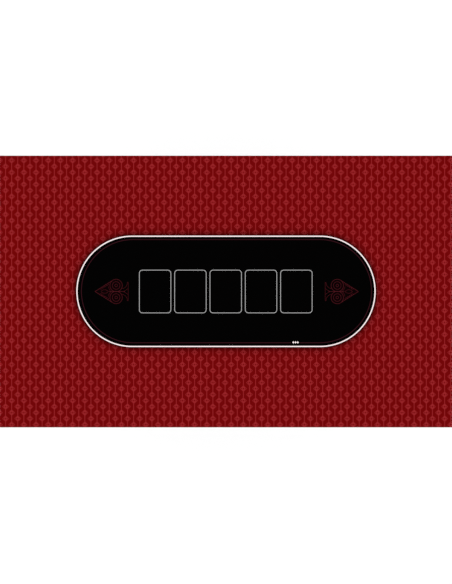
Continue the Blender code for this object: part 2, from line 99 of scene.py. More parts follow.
class Graph:
    """A material's node tree, with short calls for its common nodes."""

    INPUTS = {
        "colour": "Base Color",
        "roughness": "Roughness",
        "metallic": "Metallic",
        "specular": "Specular IOR Level",
        "sheen": "Sheen Weight",
        "sheen_roughness": "Sheen Roughness",
    }

    def __init__(self, name):
        self.material = bpy.data.materials.new(name)
        self.material.use_nodes = True
        self.tree = self.material.node_tree
        self.shader = self.tree.nodes["Principled BSDF"]
        self.place = self.node("ShaderNodeTexCoord").outputs["Object"]  # in metres

    def node(self, kind, inputs=(), **settings):
        made = self.tree.nodes.new(kind)
        for key, value in settings.items():
            setattr(made, key, value)
        for key, value in dict(inputs).items():
            self.join(value, made.inputs[key])
        return made

    def join(self, value, socket):
        if isinstance(value, bpy.types.NodeSocket):
            self.tree.links.new(value, socket)
        elif socket.type == "VECTOR":
            socket.default_value = value[:3]
        else:
            socket.default_value = value

    def math(self, operation, *values, clamp=False):
        made = self.node("ShaderNodeMath", operation=operation, use_clamp=clamp)
        for value, socket in zip(values, made.inputs):
            self.join(value, socket)
        return made.outputs[0]

    def split(self, vector):
        made = self.node("ShaderNodeSeparateXYZ", {"Vector": vector})
        return made.outputs["X"], made.outputs["Y"], made.outputs["Z"]

    def noise(self, size, detail=2.0, stretch=(1, 1, 1)):
        """Noise from 0 to 1 whose features are about this size, in metres."""
        scale = Vector(stretch) / size
        moved = self.node("ShaderNodeMapping", {"Vector": self.place, "Scale": scale})
        inputs = {"Vector": moved.outputs[0], "Scale": 1.0, "Detail": detail}
        return self.node("ShaderNodeTexNoise", inputs).outputs["Fac"]

    def ramp(self, value, low, high, to_low=0.0, to_high=1.0):
        inputs = {"Value": value, "From Min": low, "From Max": high, "To Min": to_low, "To Max": to_high}
        return self.node("ShaderNodeMapRange", inputs, clamp=True).outputs[0]

    def mix(self, share, first, second):
        made = self.node("ShaderNodeMix", data_type="RGBA")
        self.join(share, made.inputs["Factor"])
        self.join(first, made.inputs["A"])
        self.join(second, made.inputs["B"])
        return made.outputs["Result"]

    def scaled(self, colour, factor):
        made = self.node("ShaderNodeVectorMath", operation="SCALE")
        self.join(colour, made.inputs[0])
        self.join(factor, made.inputs["Scale"])
        return made.outputs[0]

    def bump(self, height, depth, strength):
        """Bump from a height of 0 to 1, which stands for this depth in metres."""
        made = self.node("ShaderNodeBump", {"Height": height, "Distance": depth, "Strength": strength})
        self.join(made.outputs["Normal"], self.shader.inputs["Normal"])

    def finish(self, **inputs):
        for key, value in inputs.items():
            self.join(value, self.shader.inputs[self.INPUTS[key]])
        return self.material


# How much brighter than its own colour a flat white surface looks under this scene's lights.
LIGHT_LEVEL = 1.17


def seen(red, green, blue):
    """The shader's RGBA for a printed colour that is stated as seen, from 0 to 255 on screen."""

    def linear(value):
        share = value / 255
        return share / 12.92 if share <= 0.04045 else ((share + 0.055) / 1.055) ** 2.4

    return (*(linear(value) / LIGHT_LEVEL for value in (red, green, blue)), 1.0)


# Materials ------------------------------------------------

KNIT_BUMP = (0.00018, 0.8)  # depth and strength


def knit_height(g):
    """The face of a fine warp knit: wales 0.8 mm apart, each a row of slanted loops."""
    wale, course, slope, fibre_share = 0.0008, 0.0011, 1.2, 0.35
    x, y, _ = g.split(g.place)
    across = g.math("DIVIDE", x, wale)
    in_wale = g.math("ABSOLUTE", g.math("SUBTRACT", g.math("FRACT", across), 0.5))
    slant = g.math("ADD", g.math("DIVIDE", y, course), g.math("MULTIPLY", in_wale, slope))
    loops = g.math("MULTIPLY_ADD", g.math("SINE", g.math("MULTIPLY", slant, math.tau)), 0.5, 0.5)
    ridge = g.ramp(in_wale, 0.5, 0.1)
    fibres = g.noise(0.0005, detail=3.0)
    body = g.math("MULTIPLY", ridge, g.math("MULTIPLY_ADD", loops, 0.6, 0.4))
    return g.math("MULTIPLY_ADD", fibres, fibre_share, body)


def track_distance(g):
    """How far a point lies outside the racetrack's edge."""
    radius = TRACK_WIDTH / 2
    half_straight = TRACK_LENGTH / 2 - radius
    x, y, _ = g.split(g.place)
    y = g.math("SUBTRACT", y, TRACK_Y)
    past = g.math("MAXIMUM", g.math("SUBTRACT", g.math("ABSOLUTE", x), half_straight), 0.0)
    away = g.math("SQRT", g.math("ADD", g.math("MULTIPLY", past, past), g.math("MULTIPLY", y, y)))
    return g.math("SUBTRACT", away, radius)


def from_middle(g, value, middle, period):
    """How far a value is from the nearest middle + n * period."""
    moved = g.math("DIVIDE", g.math("SUBTRACT", value, middle), period)
    whole = g.math("ROUND", moved)
    return g.math("MULTIPLY", g.math("ABSOLUTE", g.math("SUBTRACT", moved, whole)), period)


def pattern_mask(g):
    """The light print of the red field: 1 on the lozenges and lines, 0 between them."""
    half_width, half_height, half_line = 0.0075, 0.0070, 0.00068
    heart, dot, dot_at = 0.0019, 0.0014, 0.0043
    soft = 0.0002
    inside, outside = 0.97, 1.03  # the spread on either side of a lozenge's edge
    faint = 0.80  # the lozenges, beside the lines
    x, y, _ = g.split(g.place)
    both = None
    for step in (0, 1):
        column = PATTERN_AT[0] + step * PATTERN_WIDTH / 2
        row = PATTERN_AT[1] + step * PATTERN_HEIGHT / 2
        du = from_middle(g, x, column, PATTERN_WIDTH)
        dv = from_middle(g, y, row, PATTERN_HEIGHT)
        spread = g.math("ADD", g.math("DIVIDE", du, half_width), g.math("DIVIDE", dv, half_height))
        lozenge = g.ramp(spread, outside, inside, 0.0, faint)
        # Its heart is dark, and so is a dot towards each side corner.
        for at, radius, depth in ((0.0, heart, 1.0), (dot_at, dot, 0.8)):
            aside = g.math("ABSOLUTE", g.math("SUBTRACT", du, at))
            away = g.math("ADD", aside, dv)
            dark = g.math("MULTIPLY", g.ramp(away, radius + soft, radius - soft), depth)
            lozenge = g.math("SUBTRACT", lozenge, dark, clamp=True)
        thread = g.ramp(du, half_line + soft, half_line - soft)
        thread = g.math("MULTIPLY", thread, g.ramp(spread, inside, outside))
        shape = g.math("MAXIMUM", lozenge, thread)
        both = shape if both is None else g.math("MAXIMUM", both, shape)
    return both


def printed_cloth_material():
    shadow_reach, shadow_depth = 0.0065, 0.96
    g = Graph("printed_cloth")
    pattern = pattern_mask(g)
    red = g.mix(pattern, seen(114, 5, 7), seen(156, 39, 43))
    dye = g.noise(0.02, detail=3.0)
    red = g.scaled(red, g.ramp(dye, 0.3, 0.7, 0.97, 1.03))
    # The printed shadow round the racetrack.
    distance = track_distance(g)
    outside = g.math("MAXIMUM", distance, 0.0)
    fade = g.math("EXPONENT", g.math("DIVIDE", outside, -shadow_reach))
    red = g.scaled(red, g.math("MULTIPLY_ADD", fade, -shadow_depth, 1.0))
    on_track = g.ramp(distance, 0.0, -0.0002)
    colour = g.mix(on_track, red, (0.0003, 0.0002, 0.0002, 1.0))
    # The cut edge is a darker red than the print.
    normal_z = g.split(g.node("ShaderNodeNewGeometry").outputs["Normal"])[2]
    colour = g.mix(g.ramp(normal_z, 0.5, 0.2), colour, (0.05, 0.008, 0.009, 1.0))
    knit = knit_height(g)
    # Painted shade and light on the knit: the colour is darker in the knit's hollows and lighter on its
    # loops.
    colour = g.scaled(colour, g.ramp(knit, 0.1, 1.1, 0.94, 1.07))
    g.bump(knit, *KNIT_BUMP)
    roughness = g.ramp(g.noise(0.001), 0.3, 0.7, 0.85, 0.95)
    return g.finish(colour=colour, roughness=roughness, specular=0.015, sheen=0.09, sheen_roughness=0.3)


def ink_material(name, colour):
    """Ink on the cloth, with the knit showing through as bump and as painted shade, darker in its hollows
    and lighter on its loops.
    """
    g = Graph(name)
    knit = knit_height(g)
    mottle = g.ramp(g.noise(0.0015, detail=3.0), 0.3, 0.7, 0.97, 1.02)
    # The ink's own uneven tone (mottle) times painted shade and light that follow the knit's height.
    mottle_and_painted_shade = g.math("MULTIPLY", mottle, g.ramp(knit, 0.1, 1.1, 0.97, 1.12))
    g.bump(knit, *KNIT_BUMP)
    return g.finish(colour=g.scaled(colour, mottle_and_painted_shade), roughness=0.85, specular=0.02)


def rubber_material(name, waffle=False):
    g = Graph(name)
    grain = g.noise(0.0006, detail=3.0)
    height = grain
    if waffle:
        pitch = 0.0024
        x, y, _ = g.split(g.place)
        du = from_middle(g, x, 0.0, pitch)
        dv = from_middle(g, y, 0.0, pitch)
        cell = g.ramp(g.math("MAXIMUM", du, dv), 0.0007, 0.0011)
        height = g.math("MULTIPLY_ADD", grain, 0.2, cell)
    g.bump(height, 0.00025 if waffle else 0.00008, 0.8)
    dust = g.ramp(g.noise(0.03, detail=4.0), 0.45, 0.75)
    colour = g.mix(dust, (0.014, 0.014, 0.015, 1.0), (0.030, 0.029, 0.028, 1.0))
    roughness = g.ramp(grain, 0.3, 0.7, 0.72, 0.9)
    return g.finish(colour=colour, roughness=roughness, specular=0.35)


def laminate_material():
    """Black melamine with a fine pebble grain."""
    g = Graph("board_laminate")
    pebble = g.node("ShaderNodeTexVoronoi", {"Vector": g.place, "Scale": 900.0}, feature="SMOOTH_F1")
    g.bump(pebble.outputs["Distance"], 0.0001, 0.35)
    cloud = g.noise(0.06, detail=4.0)
    colour = g.mix(cloud, (0.017, 0.017, 0.018, 1.0), (0.026, 0.025, 0.025, 1.0))
    roughness = g.ramp(g.noise(0.012, detail=3.0), 0.3, 0.7, 0.42, 0.58)
    return g.finish(colour=colour, roughness=roughness, specular=0.45)


def edge_band_material():
    g = Graph("edge_band")
    fine = g.noise(0.0009, detail=3.0)
    g.bump(fine, 0.00006, 0.5)
    scuffs = g.ramp(g.noise(0.008, detail=5.0, stretch=(0.4, 0.4, 1.0)), 0.62, 0.75)
    colour = g.mix(scuffs, (0.016, 0.016, 0.017, 1.0), (0.040, 0.039, 0.038, 1.0))
    return g.finish(colour=colour, roughness=g.ramp(fine, 0.3, 0.7, 0.36, 0.48))


def powder_coat_material(name, wear_below=None):
    """Black powder coat with its orange peel. Legs are scuffed lower down."""
    g = Graph(name)
    peel = g.noise(0.0022)
    grit = g.noise(0.0005)
    g.bump(g.math("MULTIPLY_ADD", grit, 0.25, peel), 0.00018, 0.7)
    cloud = g.noise(0.05, detail=3.0)
    colour = g.mix(cloud, (0.019, 0.019, 0.021, 1.0), (0.027, 0.027, 0.029, 1.0))
    if wear_below is not None:
        scratch = g.ramp(g.noise(0.006, detail=6.0, stretch=(1, 1, 0.25)), 0.60, 0.68)
        z = g.split(g.place)[2]
        scratch = g.math("MULTIPLY", scratch, g.ramp(z, wear_below, 0.0))
        colour = g.mix(scratch, colour, (0.15, 0.15, 0.15, 1.0))
    roughness = g.ramp(peel, 0.3, 0.7, 0.34, 0.46)
    return g.finish(colour=colour, roughness=roughness)


def zinc_material(name, bright):
    """Zinc plate: a bright metal, clouded and faintly tinted."""
    g = Graph(name)
    cloud = g.noise(0.012, detail=4.0)
    tint = g.noise(0.03)
    base = g.mix(cloud, (0.37, 0.38, 0.39, 1.0), (0.52, 0.52, 0.52, 1.0))
    colour = g.mix(g.math("MULTIPLY", g.ramp(tint, 0.45, 0.7), 0.35), base, (0.52, 0.47, 0.35, 1.0))
    colour = g.scaled(colour, bright)
    rolled = g.noise(0.0012, detail=3.0, stretch=(0.15, 1.0, 1.0))
    g.bump(rolled, 0.00004, 0.5)
    roughness = g.ramp(cloud, 0.3, 0.7, 0.26, 0.42)
    return g.finish(colour=colour, roughness=roughness, metallic=1.0)


# Meshes ---------------------------------------------------


def piece_of(name, bm, finish, body, sharp=35):
    """A mesh as a piece that rides on a body, with this finish in its material slot."""
    bmesh.ops.recalc_face_normals(bm, faces=bm.faces)
    mesh = bpy.data.meshes.new(name)
    bm.to_mesh(mesh)
    bm.free()
    mesh.materials.append(finish)
    mesh.shade_smooth()
    mesh.set_sharp_from_angle(angle=math.radians(sharp))
    piece = bpy.data.objects.new(name, mesh)
    bpy.context.scene.collection.objects.link(piece)
    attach(piece, body)
    return piece


def join_rings(bm, first, second):
    """Faces between two rings of as many points."""
    for i in range(len(first)):
        following = (i + 1) % len(first)
        bm.faces.new((first[i], first[following], second[following], second[i]))


def mat_rise(x, y):
    """How far the mat stands off the board: a slow ripple, and corners that curl a little."""
    ripple_rise, curl_rise, curl_reach = 0.00012, 0.0012, 0.09
    ripple = ripple_rise * (2 + math.sin(9.0 * x + 1.3 * y + 0.4) + math.sin(11.0 * y - 4.0 * x + 1.1))
    to_corner = math.hypot(MAT_LENGTH / 2 - abs(x), MAT_WIDTH / 2 - abs(y))
    curl = curl_rise * max(0.0, 1 - to_corner / curl_reach) ** 2
    return ripple + curl


def slab(length, width, low, high, edge, step):
    """A closed sheet between two heights, its top edge rounded by edge, lying as the mat lies."""
    columns = round(length / step)
    rows = round(width / step)
    tiny = 1e-6
    bm = bmesh.new()

    def layer(z, inset):
        grid = []
        for j in range(rows + 1):
            y = (width - 2 * inset) * (j / rows - 0.5)
            line = []
            for i in range(columns + 1):
                x = (length - 2 * inset) * (i / columns - 0.5)
                line.append(bm.verts.new((x, y, z + mat_rise(x, y))))
            grid.append(line)
        return grid

    def rim(grid):
        south = grid[0]
        east = [line[-1] for line in grid[1:]]
        north = list(reversed(grid[-1][:-1]))
        west = [line[0] for line in reversed(grid[1:-1])]
        return south + east + north + west

    def ring(z, inset):
        """The top layer's rim again, lower down and further out."""
        found = []
        for vert in top_rim:
            x, y = vert.co.x, vert.co.y
            if abs(x) > length / 2 - edge - tiny:
                x = math.copysign(length / 2 - inset, x)
            if abs(y) > width / 2 - edge - tiny:
                y = math.copysign(width / 2 - inset, y)
            found.append(bm.verts.new((x, y, z + mat_rise(x, y))))
        return found

    top = layer(high, edge)
    bottom = layer(low, 0.0)
    for grid in (top, bottom):
        for first, second in zip(grid, grid[1:]):
            for i in range(columns):
                bm.faces.new((first[i], first[i + 1], second[i + 1], second[i]))
    top_rim = rim(top)
    shoulder = ring(high - 0.3 * edge, 0.3 * edge)
    side = ring(high - edge, 0.0)
    rims = [top_rim, shoulder, side, rim(bottom)]
    for upper, lower in zip(rims, rims[1:]):
        join_rings(bm, lower, upper)
    return bm


def arc(centre, radius, start, end, steps):
    angles = [start + (end - start) * i / steps for i in range(steps + 1)]
    return [Vector((centre[0] + radius * math.cos(a), centre[1] + radius * math.sin(a))) for a in angles]


def straight(start, end, step=0.012):
    """Points along a straight run, without its ends."""
    start, end = Vector(start), Vector(end)
    count = max(1, round((end - start).length / step))
    return [start.lerp(end, i / count) for i in range(1, count)]


def stadium(inset, end_inset, at):
    """A racetrack line round a middle, inset from the racetrack's edge by this much along its sides and at
    its ends."""
    radius = TRACK_WIDTH / 2 - inset
    half = TRACK_LENGTH / 2 - end_inset - radius
    quarter = math.pi / 2
    points = arc((half, 0), radius, -quarter, quarter, 64)
    points += straight((half, radius), (-half, radius))
    points += arc((-half, 0), radius, quarter, 3 * quarter, 64)
    points += straight((-half, -radius), (half, -radius))
    return [point + Vector(at) for point in points]


def rounded_box(centre_x, width, height, corner):
    points = []
    quarter = math.pi / 2
    corners = ((1, -1, -quarter), (1, 1, 0), (-1, 1, quarter), (-1, -1, math.pi))
    for sign_x, sign_y, start in corners:
        centre = (centre_x + sign_x * (width / 2 - corner), sign_y * (height / 2 - corner))
        run = arc(centre, corner, start, start + quarter, 10)
        if points:
            points += straight(points[-1], run[0])
        points += run
    return points + straight(points[-1], points[0])


def ribbon(bm, path, width, closed, layer=0):
    """A line of ink of this width along a path on the mat."""
    sharpest = 0.4  # a corner's cosine, past which its mitre grows no longer
    count = len(path)
    low = MAT_TOP - INK / 2
    high = MAT_TOP + INK / 2 + layer * INK_STEP
    sections = []
    for i, point in enumerate(path):
        before = path[i - 1] if closed or i > 0 else point
        after = path[(i + 1) % count] if closed or i < count - 1 else point
        along = (after - before).normalized()
        first = (point - before).normalized() if before != point else along
        stretch = 1 / max(sharpest, along.dot(first))
        side = Vector((-along.y, along.x)) * (width / 2 * stretch)
        left, right = point - side, point + side
        corners = ((left, low), (right, low), (right, high), (left, high))
        sections.append([bm.verts.new((*place, z + mat_rise(*place))) for place, z in corners])
    pairs = list(zip(sections, sections[1:]))
    if closed:
        pairs.append((sections[-1], sections[0]))
    else:
        bm.faces.new(sections[0])
        bm.faces.new(reversed(sections[-1]))
    for first, second in pairs:
        join_rings(bm, first, second)


def patch(bm, outline, layer=0):
    """A filled shape of ink with this outline on the mat."""
    low = MAT_TOP - INK / 2
    high = MAT_TOP + INK / 2 + layer * INK_STEP
    lower = [bm.verts.new((*p, low + mat_rise(*p))) for p in outline]
    upper = [bm.verts.new((*p, high + mat_rise(*p))) for p in outline]
    bm.faces.new(reversed(lower))
    bm.faces.new(upper)
    join_rings(bm, lower, upper)


# The mat --------------------------------------------------


def tangent_point(tip, centre, radius):
    """Where the straight line from the tip touches the circle, on the circle's outer side."""
    away = Vector(centre) - Vector(tip)
    turn = math.asin(radius / away.length)
    reach = math.sqrt(away.length_squared - radius * radius)
    sign = 1 if centre[1] > 0 else -1
    direction = Vector((away.x, away.y)).normalized()
    direction.rotate(Matrix.Rotation(sign * turn, 2))
    return Vector(tip) + direction * reach


def stroke(start, end):
    """A straight line's points, with its ends."""
    start, end = Vector(start), Vector(end)
    return [start, *straight(start, end), end]


def spade_lines():
    """A spade in line work, its tip at 0 and its foot at SPADE_LENGTH along X. Returns the outline of its
    leaf, and lines as (points, closed, width)."""
    fine, bold = 0.0006, 0.0009
    lobe_x, lobe_y, lobe_radius = 0.0467, 0.0133, 0.0137
    rings, ring_width = (0.0084, 0.0029), 0.0008
    band_radius, band_start, band_end = 0.0170, 0.14, 0.88
    scallops_at, scallop_radius, scallop_inset = (0.0150, 0.0205, 0.0260, 0.0315), 0.0026, 0.0006
    flare_x, foot_half, flare_radius = 0.0581, 0.0194, 0.0133
    ball_x, ball_radius = 0.0724, 0.0010
    ray_x, ray_half = 0.0634, 0.0067
    stem_start, stem_end = 0.0310, 0.0660
    drop_middle, drop_half, drop_rise = 0.0214, 0.0080, 0.0040
    half_turn = math.pi
    lines = []
    outline_half = []
    for sign in (-1, 1):
        centre = (lobe_x, sign * lobe_y)
        touch = tangent_point((0, 0), centre, lobe_radius)
        edge = [Vector((0, 0)), *straight((0, 0), touch, 0.006), touch]
        lines.append((edge, False, bold))
        start = math.atan2(touch.y - centre[1], touch.x - centre[0])
        shoulder = arc(centre, lobe_radius, start, -sign * math.radians(70), 32)
        outline_half.append(edge + shoulder[1:])
        # The lobe's edge and the rings round its eye.
        for radius, width in ((lobe_radius, bold), (rings[0], ring_width), (rings[1], ring_width)):
            lines.append((arc(centre, radius, 0, math.tau, 40)[:-1], True, width))
        # A band that runs round the lobe's front.
        band = arc(centre, band_radius, half_turn + sign * band_start, half_turn + sign * band_end, 12)
        lines.append((band, False, fine))
        # A lace of scallops inside the edge.
        along = touch.normalized()
        inward = Vector((along.y, -along.x)) * sign
        heading = math.atan2(along.y, along.x)
        for at in scallops_at:
            middle = along * at + inward * scallop_inset
            scallop = arc(middle, scallop_radius, heading, heading - sign * half_turn, 10)
            lines.append((scallop, False, fine))
        # The stem's flare, from the waist out to its round end at the foot.
        flare = arc((flare_x, sign * foot_half), flare_radius, -sign * math.radians(85), 0, 16)
        ball = arc((ball_x, sign * foot_half), ball_radius, sign * half_turn, 0, 6)
        lines.append((flare + ball, False, fine))
        # Rays from the stem to the foot.
        lines.append((stroke((ray_x, 0), (SPADE_LENGTH, sign * ray_half)), False, fine))
    foot = [Vector((SPADE_LENGTH, y)) for y in (-foot_half, 0, foot_half)]
    lines.append((foot, False, fine))
    lines.append((stroke((stem_start, 0), (stem_end, 0)), False, bold))
    # The drop behind the tip: two arcs that meet in points.
    drop_radius = (drop_half**2 + drop_rise**2) / (2 * drop_rise)
    spread = math.asin(drop_half / drop_radius)
    drop = []
    for sign in (1, -1):
        centre = (drop_middle, sign * (drop_rise - drop_radius))
        top = sign * half_turn / 2
        drop += arc(centre, drop_radius, top + spread, top - spread, 10)[:-1]
    lines.append((drop, True, fine))
    lower, upper = outline_half
    return lower + list(reversed(upper[1:])), lines


def on_mat(points, tip_x):
    """Points of the spade, laid on the mat with its tip here and pointing outwards."""
    inward = -1 if tip_x > 0 else 1
    return [Vector((tip_x + inward * p.x, p.y)) for p in points]


def build_print(body):
    white = ink_material("white_ink", seen(255, 240, 240))
    grey = ink_material("grey_ink", seen(184, 184, 184))
    maroon = ink_material("maroon_ink", seen(54, 19, 27))
    dark_maroon = ink_material("dark_maroon_ink", seen(8, 0, 1))
    line_maroon = ink_material("spade_line_ink", seen(77, 22, 29))
    made = []

    def ink(name, bm, finish):
        made.append(piece_of(name, bm, finish, body))

    bm = bmesh.new()
    ribbon(bm, stadium(OUTLINE_WIDTH / 2, OUTLINE_WIDTH / 2, (0, TRACK_Y)), OUTLINE_WIDTH, True)
    ink("racetrack_outline", bm, white)

    path = stadium(INNER_LINE_INSET, INNER_LINE_END_INSET, INNER_LINE_AT)
    # The line stops on either side of the mark.
    by_mark = [p.y < 0 and abs(p.x - MARK_AT[0]) < MARK_GAP / 2 for p in path]
    first = by_mark.index(True)
    after = first + by_mark.count(True)
    right_end, left_end = [Vector((MARK_AT[0] + sign * MARK_GAP / 2, path[first].y)) for sign in (1, -1)]
    line = [right_end, *path[after:], *path[:first], left_end]
    bm = bmesh.new()
    ribbon(bm, line, INNER_LINE_WIDTH, False)
    ink("racetrack_inner_line", bm, maroon)

    bm = bmesh.new()
    for i in range(CARD_BOXES):
        centre_x = CARD_BOXES_X + (i - (CARD_BOXES - 1) / 2) * CARD_BOX_PITCH
        path = rounded_box(centre_x, CARD_BOX_WIDTH, CARD_BOX_LENGTH, CARD_BOX_CORNER)
        ribbon(bm, path, CARD_BOX_LINE, True)
    ink("card_boxes", bm, grey)

    # Three plain lozenges where the layout leaves room for a small mark.
    bm = bmesh.new()
    pitch = MARK_SIZE[0] / 3
    half_x, half_y = 0.46 * pitch, MARK_SIZE[1] / 2
    for place in (-1, 0, 1):
        middle = Vector(MARK_AT) + Vector((place * pitch, 0))
        patch(bm, [middle + Vector(c) for c in ((half_x, 0), (0, half_y), (-half_x, 0), (0, -half_y))])
    ink("lozenge_mark", bm, white)

    outline, lines = spade_lines()
    fills, strokes = bmesh.new(), bmesh.new()
    for tip_x in SPADE_TIPS_X:
        patch(fills, on_mat(outline, tip_x))
        # Lines that cross lie at slightly different heights.
        for i, (points, closed, width) in enumerate(lines):
            ribbon(strokes, on_mat(points, tip_x), width, closed, layer=1 + 0.2 * (i % 4))
    ink("spade_fills", fills, dark_maroon)
    ink("spade_lines", strokes, line_maroon)
    return made


def build_mat():
    body = "playing_mat"
    size = (MAT_LENGTH, MAT_WIDTH)
    edge, step, glue = 0.0003, 0.010, 0.00002
    waffled = rubber_material("mat_rubber", waffle=True)
    rubber_mesh = slab(*size, RUBBER_LOW.z, MAT_LOW.z - glue, edge, step)
    rubber = piece_of("mat_rubber_base", rubber_mesh, waffled, body)
    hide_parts("rubber_base")
    cloth_mesh = slab(*size, MAT_LOW.z, MAT_TOP, edge, step)
    cloth = piece_of("mat_cloth", cloth_mesh, printed_cloth_material(), body)
    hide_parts("printed_cloth")
    inks = build_print(body)


# The table ------------------------------------------------


def give(node, finish, bevel):
    """A finish for a CAD node, with its sharp edges eased by a bevel's width."""
    piece = NODES[node]
    piece.data.materials.clear()
    piece.data.materials.append(finish)
    if bevel:
        weld = piece.modifiers.new("weld", "WELD")
        weld.merge_threshold = 0.00002
        ease = piece.modifiers.new("ease", "BEVEL")
        ease.width = bevel
        ease.segments = 2
        ease.limit_method = "ANGLE"
        ease.angle_limit = math.radians(40)
        ease.harden_normals = True


def build_table():
    laminate = laminate_material()
    band = edge_band_material()
    frame_coat = powder_coat_material("frame_powder_coat")
    leg_coat = powder_coat_material("leg_powder_coat", wear_below=0.30)
    plate = zinc_material("plated_steel", 1.0)
    rivet = zinc_material("rivet_steel", 1.15)
    foot = rubber_material("foot_rubber")
    # Node name endings of the CAD nodes that show, with their finish and bevel.
    rules = (
        ("top_board", laminate, 0.0),
        ("_edge_band", band, 0.0),
        ("_rail", frame_coat, 0.0012),
        ("_frame_tab", frame_coat, 0.0003),
        ("_leg_bracket", plate, 0.0003),
        ("_stay_anchor", plate, 0.0003),
    )
    for node in NODES:
        for ending, finish, bevel in rules:
            if node.endswith(ending):
                give(node, finish, bevel)
                break
    build_legs(leg_coat)
    build_crossbars(leg_coat)
    build_stays(plate)
    build_rivets(rivet)
    build_feet(foot)
    build_leg_plugs(foot)
    build_screws(plate)
    build_crossbar_welds(leg_coat)
    build_frame_welds(frame_coat)


# The table's own parts ------------------------------------

SHEET = 0.003  # of the brackets and anchors
TAB_SHEET = 0.002
TUBE_WALL = 0.0015
GAP = 0.0003
ARM_WIDTH = 0.014
HEAD_HEIGHT = 0.002  # of the rivets
PAN_HEAD = (0.0036, 0.0022)  # radius and height
BRACKET_SCREWS_X = (-0.0155, 0.0345)  # inward from the pivot
BRACKET_SCREW_INSET = 0.0040  # from the plate's ends
ANCHOR_SCREW_X = 0.0105
ANCHOR_SCREW_Y = 0.0065  # outward from the leg's middle
TAB_SCREW_ALONG = 0.0085
TAB_SCREW_IN = 0.0020  # towards the tab's free edge, clear of its bend
BEAD_STEP = 0.0005  # between the points of a weld


def turned(bm, profile, origin, toward=(0, 0, 1), steps=48):
    """A closed shape turned about the line through the origin towards a direction, from points of (radius,
    distance along that line). They run from the axis to the axis, or round a tube's wall."""
    heading = Vector(toward).to_track_quat("Z", "Y").to_matrix()
    rings = []
    for radius, height in profile:
        ring = []
        for i in range(steps if radius else 1):
            angle = math.tau * i / steps
            spot = heading @ Vector((radius * math.cos(angle), radius * math.sin(angle), height))
            ring.append(bm.verts.new(spot + Vector(origin)))
        rings.append(ring)
    pairs = list(zip(rings, rings[1:]))
    if profile[0][0]:
        pairs.append((rings[-1], rings[0]))
    for first, second in pairs:
        for i in range(steps):
            following = (i + 1) % steps
            loop = [first[i % len(first)], first[following % len(first)]]
            loop += [second[following % len(second)], second[i % len(second)]]
            bm.faces.new(dict.fromkeys(loop))


def pan_head(bm, at, turn):
    """A pan-head screw with a cross recess, facing down from a point at its underside."""
    radius, height = PAN_HEAD
    floor, arm, half = 0.45 * height, 0.50 * radius, 0.12 * radius
    steps = 24
    quarter = math.pi / 2
    heading = Vector((0, 0, -1)).to_track_quat("Z", "Y").to_matrix() @ Matrix.Rotation(turn, 3, "Z")

    def ring(points, z):
        return [bm.verts.new(heading @ Vector((x, y, z)) + Vector(at)) for x, y in points]

    def round_ring(size, z):
        angles = [math.tau * i / steps for i in range(steps)]
        return ring([(size * math.cos(angle), size * math.sin(angle)) for angle in angles], z)

    # From the rim to the flat top, in shares of the head's radius and height.
    profile = ((1.0, 0.0), (1.0, 0.30), (0.94, 0.68), (0.82, 0.90), (0.62, 1.0))
    sides = [round_ring(out_share * radius, up_share * height) for out_share, up_share in profile]
    for first, second in zip(sides, sides[1:]):
        join_rings(bm, first, second)
    bm.faces.new(reversed(sides[0]))
    cross = []
    for i in range(4):
        spin = Matrix.Rotation(i * quarter, 2)
        cross += [spin @ Vector(corner) for corner in ((half, -half), (arm, -half), (arm, half))]
    mouth, bottom = ring(cross, height), ring(cross, floor)
    join_rings(bm, mouth, bottom)
    bm.faces.new(bottom)
    edges = []
    for loop in (sides[-1], mouth):
        edges += [bm.edges.get(pair) for pair in zip(loop, loop[1:] + loop[:1])]
    bmesh.ops.triangle_fill(bm, use_beauty=True, edges=edges)


def screws(name, spots, finish):
    """A group of screws on the table top, each turned its own way."""
    bm = bmesh.new()
    for i, spot in enumerate(spots):
        pan_head(bm, spot, 0.4 + 1.1 * i)
    piece_of(name, bm, finish, "table_top")


def bead(bm, path, radius, closed=False):
    """A weld bead along a path, with the ripples of a hand-run weld."""
    around = 10
    ripple, ripple_share = 0.0016, 0.10
    end_share, end_rings = 0.55, 3
    rings = []
    travelled = 0.0
    for i, point in enumerate(path):
        before = path[i - 1] if closed or i > 0 else point
        after = path[(i + 1) % len(path)] if closed or i < len(path) - 1 else point
        along = (after - before).normalized()
        side = along.orthogonal().normalized()
        up = along.cross(side)
        if rings:
            travelled += (point - path[i - 1]).length
        swell = 1 - ripple_share + ripple_share * math.cos(math.tau * travelled / ripple)
        if not closed:
            from_end = min(i, len(path) - 1 - i)
            swell *= min(1.0, end_share + (1 - end_share) * from_end / end_rings)
        ring = []
        for j in range(around):
            angle = math.tau * j / around
            offset = side * math.cos(angle) + up * math.sin(angle)
            ring.append(bm.verts.new(point + offset * radius * swell))
        rings.append(ring)
    pairs = list(zip(rings, rings[1:]))
    if closed:
        pairs.append((rings[-1], rings[0]))
    else:
        bm.faces.new(reversed(rings[0]))
        bm.faces.new(rings[-1])
    for first, second in pairs:
        # The rings' corners are paired by the nearest one, because their frames may turn along the path.
        shift = min(range(around), key=lambda k: (second[k].co - first[0].co).length)
        for j in range(around):
            following = (j + 1) % around
            a, b = second[(j + shift) % around], second[(following + shift) % around]
            bm.faces.new((first[j], first[following], b, a))


def middle_of(node):
    low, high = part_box(node)
    return (low + high) / 2


def outward_of(corner):
    """1 where away from the table's middle plane is +Y at this corner, or -1."""
    return 1 if corner.endswith("back") else -1


def frame_tabs():
    """Each frame tab's name and middle, the way from there to its end and to its free edge, and half its
    height."""
    found = []
    for node in NODES:
        if node.endswith("_frame_tab"):
            middle = middle_of(node)
            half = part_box(node)[1] - middle
            along, inward = Vector((half.x, 0, 0)), Vector((0, -math.copysign(half.y, middle.y), 0))
            if half.y > half.x:
                along, inward = Vector((0, half.y, 0)), Vector((-math.copysign(half.x, middle.x), 0, 0))
            found.append((node, middle, along, inward, half.z))
    return found


